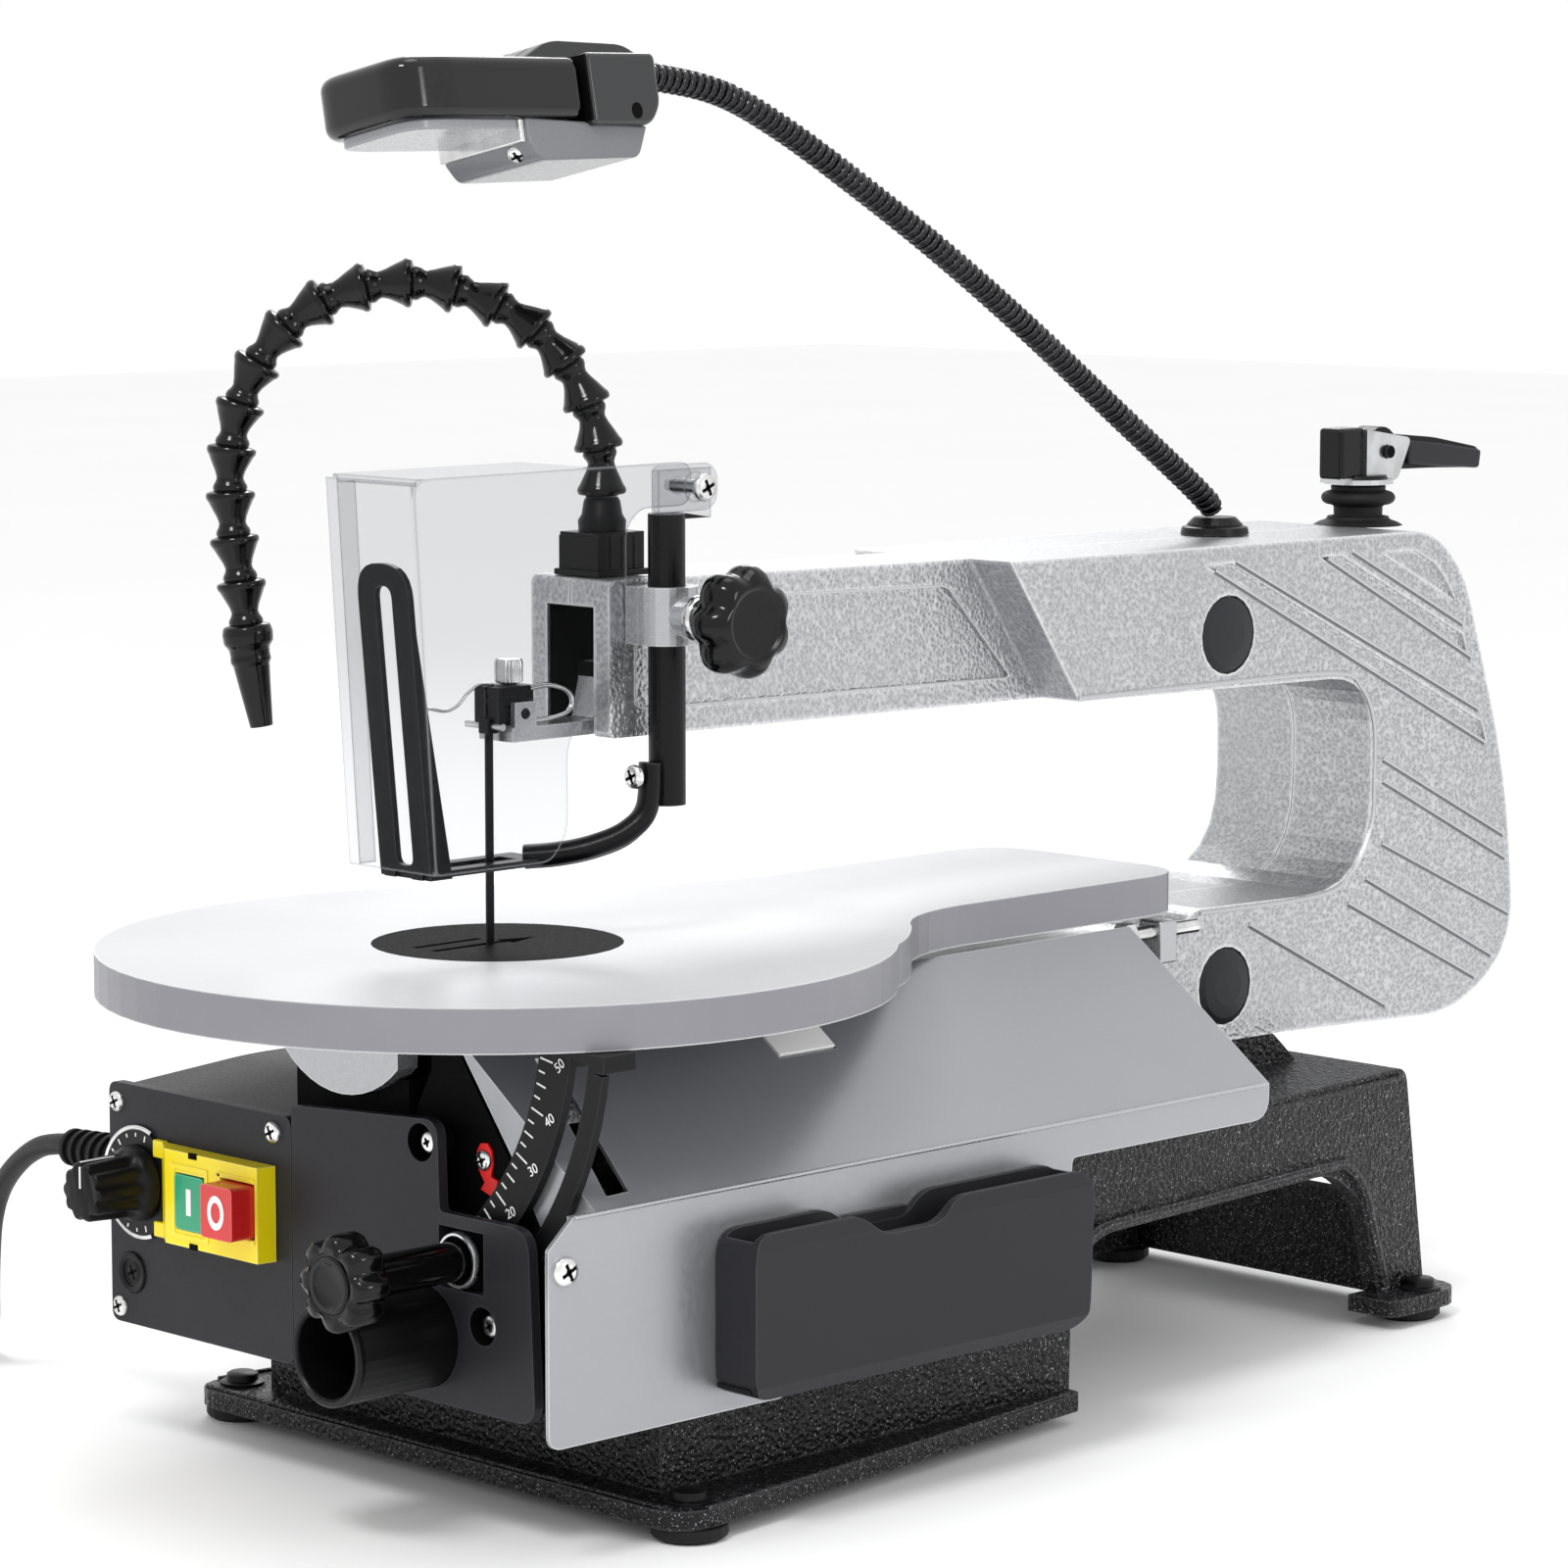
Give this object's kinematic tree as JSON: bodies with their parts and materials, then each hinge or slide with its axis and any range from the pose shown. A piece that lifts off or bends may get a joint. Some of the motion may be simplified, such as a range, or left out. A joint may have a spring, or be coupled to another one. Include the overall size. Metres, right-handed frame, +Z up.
{
  "type": "scroll saw",
  "caption": "Bench scroll saw with a C-frame, tilting table, rocking blade arms, clear guard, air hose, gooseneck lamp, speed dial, switch, side tool bin and coiled power cord.",
  "frame": {"origin": "centre of the footprint of the machine without its cord, on the surface it stands on", "axes": "+X to the right of the operator, +Y from the operator to the rear of the machine, +Z up"},
  "size_m": [0.4734, 0.6344, 0.4545],
  "materials": {
    "silver_paint": "silver hammered paint",
    "table_plate": "ground cast plate with a satin sheen",
    "panel_silver": "satin silver paint on bent sheet",
    "cast_black": "black hammered paint",
    "black_plastic": "moulded dark plastic",
    "gloss_black": "glossy black plastic",
    "bright_steel": "machined steel",
    "black_steel": "blackened steel",
    "scale_black": "black with white degree marks",
    "yellow_plastic": "yellow moulding",
    "green_plastic": "green button",
    "red_plastic": "red button",
    "clear_plastic": "clear polycarbonate",
    "rubber": "black rubber",
    "cord_black": "black cord sheath"
  },
  "bodies": {
    "frame": {"base_casting": "cast_black", "foot_front_left": "rubber", "foot_front_right": "rubber", "foot_rear_left": "rubber", "foot_rear_right": "rubber", "frame_half_left": "silver_paint", "frame_half_right": "silver_paint", "pivot_cap_upper_left": "black_plastic", "pivot_cap_upper_right": "black_plastic", "pivot_cap_lower_left": "black_plastic", "pivot_cap_lower_right": "black_plastic", "pivot_pin_upper": "bright_steel", "pivot_pin_lower": "bright_steel", "motor_can": "bright_steel", "trunnion_seat": "cast_black", "control_panel": "black_plastic", "front_cover": "black_plastic", "motor_cover": "black_plastic", "switch_housing": "yellow_plastic", "speed_dial": "bright_steel", "dust_port": "black_plastic", "side_panel": "panel_silver", "clamp_band": "bright_steel", "hose_base": "black_plastic", "neck_socket": "black_plastic", "cord_gland": "rubber", "cord_lead": "cord_black", "cord_coil": "cord_black", "cord_tail": "cord_black", "mains_plug": "rubber"},
    "table": {"table": "table_plate", "table_insert": "black_plastic", "trunnion_front": "silver_paint", "tilt_scale": "scale_black"},
    "lock_knob": {"lock_knob": "black_plastic"},
    "speed_knob": {"speed_knob": "black_plastic"},
    "button_on": {"button_on": "green_plastic"},
    "button_off": {"button_off": "red_plastic"},
    "upper_arm": {"upper_rocker_arm": "bright_steel"},
    "lower_arm": {"lower_rocker_arm": "bright_steel"},
    "blade": {"blade": "black_steel", "blade_clamp_upper": "black_steel", "blade_clamp_lower": "black_steel"},
    "thumb_screw_upper": {"thumb_screw_upper": "bright_steel"},
    "thumb_screw_lower": {"thumb_screw_lower": "bright_steel"},
    "con_rod": {"con_rod": "bright_steel"},
    "drive_crank": {"drive_crank": "bright_steel"},
    "tension_rod": {"tension_rod": "bright_steel"},
    "tension_knob": {"tension_knob": "black_plastic"},
    "cam_lever": {"cam_lever": "black_plastic"},
    "hold_down_rod": {"hold_down_rod": "black_steel"},
    "star_knob": {"star_knob": "gloss_black"},
    "drop_foot": {"drop_foot": "black_steel"},
    "blade_guard": {"blade_guard": "clear_plastic"},
    "toolbox": {"toolbox": "black_plastic"},
    "lamp_neck": {"lamp_neck": "gloss_black"},
    "lamp_head": {"lamp_head": "gloss_black", "lamp_lens": "clear_plastic"},
    "air_hose": {"air_hose": "gloss_black", "hose_nozzle": "gloss_black"}
  },
  "joints": [
    {"name": "table_tilt", "type": "hinge", "parent": "frame", "child": "table", "pos_m": [-0.0013, -0.2438, 0.168], "axis": [0, -1, 0], "range_deg": [0, 15]},
    {"name": "lock_knob_turn", "type": "hinge", "parent": "frame", "child": "lock_knob", "pos_m": [0.0612, -0.2978, 0.087], "axis": [0, 1, 0], "range_deg": [0, 360]},
    {"name": "speed_knob_turn", "type": "hinge", "parent": "frame", "child": "speed_knob", "pos_m": [-0.0948, -0.2658, 0.0887], "axis": [0, 1, 0], "range_deg": [0, 270]},
    {"name": "button_on_press", "type": "slide", "parent": "frame", "child": "button_on", "axis": [0, 1, 0], "range_m": [0, 0.003], "stiffness_N_per_m": 400},
    {"name": "button_off_press", "type": "slide", "parent": "frame", "child": "button_off", "axis": [0, 1, 0], "range_m": [0, 0.003], "stiffness_N_per_m": 400},
    {"name": "upper_arm_rock", "type": "hinge", "parent": "frame", "child": "upper_arm", "pos_m": [-0.0013, 0.1281, 0.2492], "axis": [1, 0, 0], "range_deg": [-1.65, 1.65]},
    {"name": "lower_arm_rock", "type": "hinge", "parent": "frame", "child": "lower_arm", "pos_m": [-0.0013, 0.1281, 0.1242], "axis": [1, 0, 0], "range_deg": [-1.65, 1.65]},
    {"name": "blade_clamp_turn", "type": "hinge", "parent": "upper_arm", "child": "blade", "pos_m": [-0.0013, -0.1773, 0.2428], "axis": [1, 0, 0], "range_deg": [-1.65, 1.65]},
    {"name": "thumb_screw_upper_turn", "type": "hinge", "parent": "blade", "child": "thumb_screw_upper", "pos_m": [-0.0013, -0.1773, 0.256], "axis": [0, 0, 1], "range_deg": [0, 360]},
    {"name": "thumb_screw_lower_turn", "type": "hinge", "parent": "blade", "child": "thumb_screw_lower", "pos_m": [-0.0013, -0.1773, 0.101], "axis": [0, 0, 1], "range_deg": [0, 360]},
    {"name": "con_rod_turn", "type": "hinge", "parent": "lower_arm", "child": "con_rod", "pos_m": [-0.0013, -0.0658, 0.1195], "axis": [1, 0, 0], "range_deg": [-1.65, 1.65]},
    {"name": "crank_turn", "type": "hinge", "parent": "frame", "child": "drive_crank", "pos_m": [-0.0213, -0.0658, 0.078], "axis": [1, 0, 0], "continuous": true},
    {"name": "tension_rod_turn", "type": "hinge", "parent": "upper_arm", "child": "tension_rod", "pos_m": [-0.0013, 0.2442, 0.251], "axis": [1, 0, 0], "range_deg": [-1.65, 1.65]},
    {"name": "tension_knob_turn", "type": "hinge", "parent": "tension_rod", "child": "tension_knob", "pos_m": [-0.0013, 0.2442, 0.288], "axis": [0, 0, 1], "range_deg": [-360, 360]},
    {"name": "cam_lever_lift", "type": "hinge", "parent": "tension_rod", "child": "cam_lever", "pos_m": [-0.0013, 0.2519, 0.3069], "axis": [1, 0, 0], "range_deg": [0, 100]},
    {"name": "hold_down_slide", "type": "slide", "parent": "frame", "child": "hold_down_rod", "axis": [0, 0, 1], "range_m": [-0.018, 0.006]},
    {"name": "star_knob_turn", "type": "hinge", "parent": "frame", "child": "star_knob", "pos_m": [0.0587, -0.1348, 0.2725], "axis": [1, 0, 0], "range_deg": [-360, 0]},
    {"name": "drop_foot_tilt", "type": "hinge", "parent": "hold_down_rod", "child": "drop_foot", "pos_m": [0.0267, -0.1418, 0.22], "axis": [0, 1, 0], "range_deg": [-4, 4]},
    {"name": "guard_lift", "type": "hinge", "parent": "hold_down_rod", "child": "blade_guard", "pos_m": [0.0187, -0.1238, 0.313], "axis": [-1, 0, 0], "range_deg": [0, 22]},
    {"name": "toolbox_tip", "type": "hinge", "parent": "frame", "child": "toolbox", "pos_m": [0.1113, -0.1198, 0.0438], "axis": [0, 1, 0], "range_deg": [0, 35]},
    {"name": "lamp_neck_swivel", "type": "hinge", "parent": "frame", "child": "lamp_neck", "pos_m": [-0.0013, 0.1632, 0.285], "axis": [0, 0, 1], "range_deg": [-45, 45]},
    {"name": "lamp_head_tilt", "type": "hinge", "parent": "lamp_neck", "child": "lamp_head", "pos_m": [-0.0013, -0.1258, 0.4434], "axis": [1, 0, 0], "range_deg": [-15, 15]},
    {"name": "air_hose_swivel", "type": "hinge", "parent": "frame", "child": "air_hose", "pos_m": [-0.0013, -0.1368, 0.303], "axis": [0, 0, 1], "range_deg": [-25, 25]}
  ],
  "couplings": [
    {"joint": "lower_arm_rock", "follows": "upper_arm_rock", "ratio": 1},
    {"joint": "blade_clamp_turn", "follows": "upper_arm_rock", "ratio": -1},
    {"joint": "con_rod_turn", "follows": "upper_arm_rock", "ratio": -1},
    {"joint": "tension_rod_turn", "follows": "upper_arm_rock", "ratio": -1}
  ]
}
